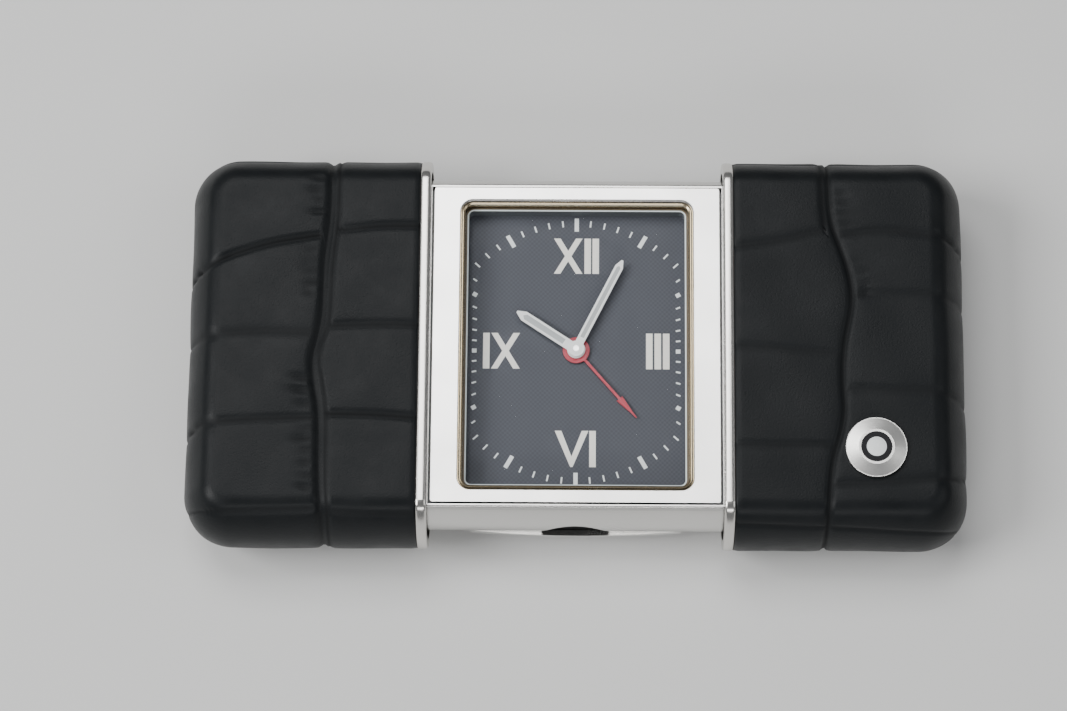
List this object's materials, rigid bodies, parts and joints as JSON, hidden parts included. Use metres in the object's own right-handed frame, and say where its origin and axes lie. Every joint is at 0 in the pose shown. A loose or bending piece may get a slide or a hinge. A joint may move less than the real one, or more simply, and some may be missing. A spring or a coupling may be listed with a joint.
{
  "type": "travel alarm clock",
  "caption": "Pocket alarm clock whose two leather-covered caps slide apart over a steel chassis to show a rectangular analogue dial; a stand folds out of the back.",
  "frame": {"origin": "centre of the surface that the clock lies on, under the middle of the dial", "axes": "+X along the slide towards the right-hand cover, +Y towards twelve o'clock, +Z from the back to the dial"},
  "size_m": [0.1014, 0.052, 0.0165],
  "materials": {
    "anthracite": "satin anthracite",
    "back_steel": "satin",
    "badge_steel": "satin with a polished edge",
    "battery_steel": "nickel, satin",
    "black_enamel": "gloss black",
    "black_leather": "black, square crocodile pattern, semi-gloss",
    "black_plastic": "moulded, matte",
    "board_green": "lacquered",
    "brass_plate": "satin",
    "case_steel": "brushed along its length",
    "coil_copper": "enamelled wire",
    "cream_plastic": "moulded, matte",
    "cream_print": "matte print",
    "crystal_glass": "clear, bevelled edge",
    "dial_anthracite": "fine engine-turned pattern, satin",
    "gasket_rubber": "pale, translucent",
    "hand_red": "matte red",
    "hand_white": "matte white",
    "iron": "dark, satin",
    "knob_steel": "turned, fluted rim",
    "lume": "matte luminous paint",
    "polished_rim": "polished bead",
    "polished_steel": "polished",
    "satin_steel": "fine satin",
    "screw_steel": "turned, polished head",
    "shell_steel": "pressed, satin",
    "white_plastic": "moulded, matte",
    "white_print": "matte print"
  },
  "bodies": {
    "chassis": {"chassis_frame": "case_steel", "front_plate": "satin_steel", "bezel_ring": "polished_steel", "crystal": "crystal_glass", "crystal_gasket": "gasket_rubber", "dial_surround": "anthracite", "dial": "dial_anthracite", "dial_numerals": "cream_print", "dial_minute_marks": "white_print", "movement_plate": "cream_plastic", "movement_bridge": "brass_plate", "bridge_screws": "screw_steel", "movement_screws": "screw_steel", "motor_stator": "iron", "motor_coil": "coil_copper", "circuit_board": "board_green", "quartz_can": "polished_steel", "buzzer": "black_plastic", "battery": "battery_steel", "battery_contacts": "brass_plate", "back_plate": "back_steel", "back_screws": "screw_steel", "stand_hinge_pin": "screw_steel", "left_stop_bar": "back_steel", "right_stop_bar": "back_steel", "cover_springs": "screw_steel", "glide_pads": "white_plastic"},
    "minute_drive": {"minute_hand": "hand_white", "minute_hand_lume": "lume", "centre_arbor": "screw_steel", "centre_wheel": "brass_plate"},
    "hour_drive": {"hour_hand": "hand_white", "hour_hand_lume": "lume", "hour_wheel": "white_plastic"},
    "alarm_drive": {"alarm_hand": "hand_red", "alarm_wheel": "white_plastic"},
    "motion_wheel": {"minute_wheel": "white_plastic"},
    "third_wheel_body": {"third_wheel": "brass_plate"},
    "rotor_body": {"rotor": "iron"},
    "time_setting": {"time_knob": "knob_steel", "time_pinion": "white_plastic"},
    "alarm_setting": {"alarm_knob": "knob_steel", "alarm_pinion": "white_plastic"},
    "switch": {"alarm_switch": "knob_steel"},
    "stand": {"stand": "satin_steel"},
    "hatch": {"battery_hatch": "back_steel"},
    "left_cover": {"left_leather": "black_leather", "left_shell": "shell_steel", "left_rim": "polished_rim"},
    "right_cover": {"right_leather": "black_leather", "right_shell": "shell_steel", "right_rim": "polished_rim", "badge": "badge_steel", "badge_inlay": "black_enamel"}
  },
  "joints": [
    {"name": "left_cover_slide", "type": "slide", "parent": "chassis", "child": "left_cover", "axis": [1, 0, 0], "range_m": [0, 0.0188]},
    {"name": "right_cover_slide", "type": "slide", "parent": "chassis", "child": "right_cover", "axis": [-1, 0, 0], "range_m": [0, 0.0188]},
    {"name": "minute_turn", "type": "hinge", "parent": "chassis", "child": "minute_drive", "pos_m": [0, 0, 0.0028], "axis": [0, 0, -1], "continuous": true},
    {"name": "hour_turn", "type": "hinge", "parent": "chassis", "child": "hour_drive", "pos_m": [0, 0, 0.0028], "axis": [0, 0, -1], "continuous": true},
    {"name": "motion_wheel_turn", "type": "hinge", "parent": "chassis", "child": "motion_wheel", "pos_m": [0.00364, 0.00165, 0.0028], "axis": [0, 0, -1], "continuous": true},
    {"name": "third_wheel_turn", "type": "hinge", "parent": "chassis", "child": "third_wheel_body", "pos_m": [-0.0052, -0.00092, 0.0028], "axis": [0, 0, -1], "continuous": true},
    {"name": "rotor_turn", "type": "hinge", "parent": "chassis", "child": "rotor_body", "pos_m": [-0.00913, -0.00367, 0.0028], "axis": [0, 0, -1], "continuous": true},
    {"name": "time_knob_turn", "type": "hinge", "parent": "chassis", "child": "time_setting", "pos_m": [0.0065, 0.0076, 0.0028], "axis": [0, 0, -1], "continuous": true},
    {"name": "alarm_knob_turn", "type": "hinge", "parent": "chassis", "child": "alarm_setting", "pos_m": [-0.0065, 0.0076, 0.0028], "axis": [0, 0, -1], "continuous": true},
    {"name": "alarm_turn", "type": "hinge", "parent": "chassis", "child": "alarm_drive", "pos_m": [0, 0, 0.0028], "axis": [0, 0, -1], "continuous": true},
    {"name": "alarm_switch_slide", "type": "slide", "parent": "chassis", "child": "switch", "axis": [1, 0, 0], "range_m": [0, 0.003]},
    {"name": "stand_hinge", "type": "hinge", "parent": "chassis", "child": "stand", "pos_m": [0, 0.0006, 0.0036], "axis": [-1, 0, 0], "range_deg": [-62, 0]},
    {"name": "hatch_twist", "type": "hinge", "parent": "chassis", "child": "hatch", "pos_m": [0, -0.0115, 0.0028], "axis": [0, 0, -1], "range_deg": [0, 60]}
  ],
  "couplings": [
    {"joint": "hour_turn", "follows": "minute_turn", "ratio": 0.083333},
    {"joint": "motion_wheel_turn", "follows": "minute_turn", "ratio": -0.33333},
    {"joint": "third_wheel_turn", "follows": "minute_turn", "ratio": -10},
    {"joint": "rotor_turn", "follows": "minute_turn", "ratio": 90},
    {"joint": "time_knob_turn", "follows": "minute_turn", "ratio": 0.27778},
    {"joint": "alarm_turn", "follows": "alarm_knob_turn", "ratio": -0.66667}
  ]
}
